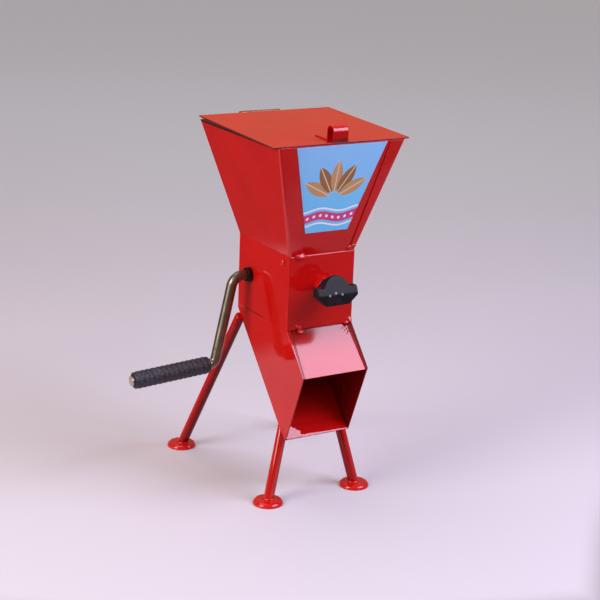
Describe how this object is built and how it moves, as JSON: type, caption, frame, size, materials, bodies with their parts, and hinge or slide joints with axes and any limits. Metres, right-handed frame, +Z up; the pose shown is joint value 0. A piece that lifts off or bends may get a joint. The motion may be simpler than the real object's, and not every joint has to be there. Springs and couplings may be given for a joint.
{
  "type": "nut cracking machine",
  "caption": "Hand-cranked nut cracking machine: lidded sheet-steel hopper, box body with fluted drum and adjustable jaw, sloping discharge chute, round-bar legs.",
  "frame": {"origin": "on the plane under the foot discs, straight below the middle of the body box", "axes": "+Z up, -Y to the front with the knob and the chute mouth, +X to the right, the crank leaves at -X"},
  "size_m": [0.2961, 0.2537, 0.4398],
  "materials": {
    "red_enamel": "glossy red enamel over welded steel sheet and bar",
    "zinc_steel": "yellow zinc plated round bar",
    "bare_steel": "bare machined steel",
    "black_rubber": "satin black ribbed grip",
    "black_plastic": "moulded black knob",
    "label": "printed plastic film, light blue"
  },
  "bodies": {
    "housing": {"hopper_left_panel": "red_enamel", "hopper_right_panel": "red_enamel", "hopper_front_panel": "red_enamel", "hopper_rear_panel": "red_enamel", "body_left_panel": "red_enamel", "body_right_panel": "red_enamel", "body_front_panel": "red_enamel", "body_rear_panel": "red_enamel", "chute_left_panel": "red_enamel", "chute_right_panel": "red_enamel", "chute_top_plate": "red_enamel", "chute_floor_plate": "red_enamel", "front_left_leg": "red_enamel", "front_right_leg": "red_enamel", "rear_left_leg": "red_enamel", "rear_right_leg": "red_enamel", "front_left_foot": "red_enamel", "front_right_foot": "red_enamel", "rear_left_foot": "red_enamel", "rear_right_foot": "red_enamel", "left_bush": "bare_steel", "right_bush": "bare_steel", "jaw_pivot_pin": "red_enamel", "adjuster_nut": "red_enamel", "hinge_fixed_leaf": "bare_steel", "hinge_pin": "bare_steel", "front_label": "label"},
    "lid": {"lid_panel": "red_enamel", "lid_pull": "red_enamel", "hinge_moving_leaf": "bare_steel"},
    "crank": {"crank_rod": "zinc_steel", "cracking_drum": "bare_steel", "drum_pin": "bare_steel", "thrust_washers": "bare_steel"},
    "grip": {"crank_grip": "black_rubber"},
    "jaw": {"jaw_plate": "bare_steel", "jaw_sleeve": "bare_steel"},
    "thrust_ball": {"thrust_ball": "bare_steel"},
    "adjuster": {"adjusting_screw": "bare_steel", "adjusting_knob": "black_plastic"}
  },
  "joints": [
    {"name": "crank_turn", "type": "hinge", "parent": "housing", "child": "crank", "pos_m": [0, 0.0305, 0.2482], "axis": [1, 0, 0], "continuous": true},
    {"name": "grip_spin", "type": "hinge", "parent": "crank", "child": "grip", "pos_m": [-0.09379, 0.0305, 0.14564], "axis": [-0.9982, 0, -0.0593], "continuous": true},
    {"name": "lid_hinge", "type": "hinge", "parent": "housing", "child": "lid", "pos_m": [0, 0.08656, 0.42451], "axis": [-1, 0, 0], "range_deg": [0, 190]},
    {"name": "screw_slide", "type": "slide", "parent": "housing", "child": "thrust_ball", "axis": [0, 1, 0], "range_m": [-0.00408, 0.00408]},
    {"name": "knob_turn", "type": "hinge", "parent": "thrust_ball", "child": "adjuster", "pos_m": [0, -0.07, 0.256], "axis": [0, 1, 0], "range_deg": [-840, 840]},
    {"name": "jaw_swing", "type": "hinge", "parent": "housing", "child": "jaw", "pos_m": [0, -0.044, 0.282], "axis": [1, 0, 0], "range_deg": [-9, 9]}
  ],
  "couplings": [
    {"joint": "knob_turn", "follows": "screw_slide", "rad_per_m": 3590.4},
    {"joint": "jaw_swing", "follows": "screw_slide", "rad_per_m": 38.462}
  ]
}
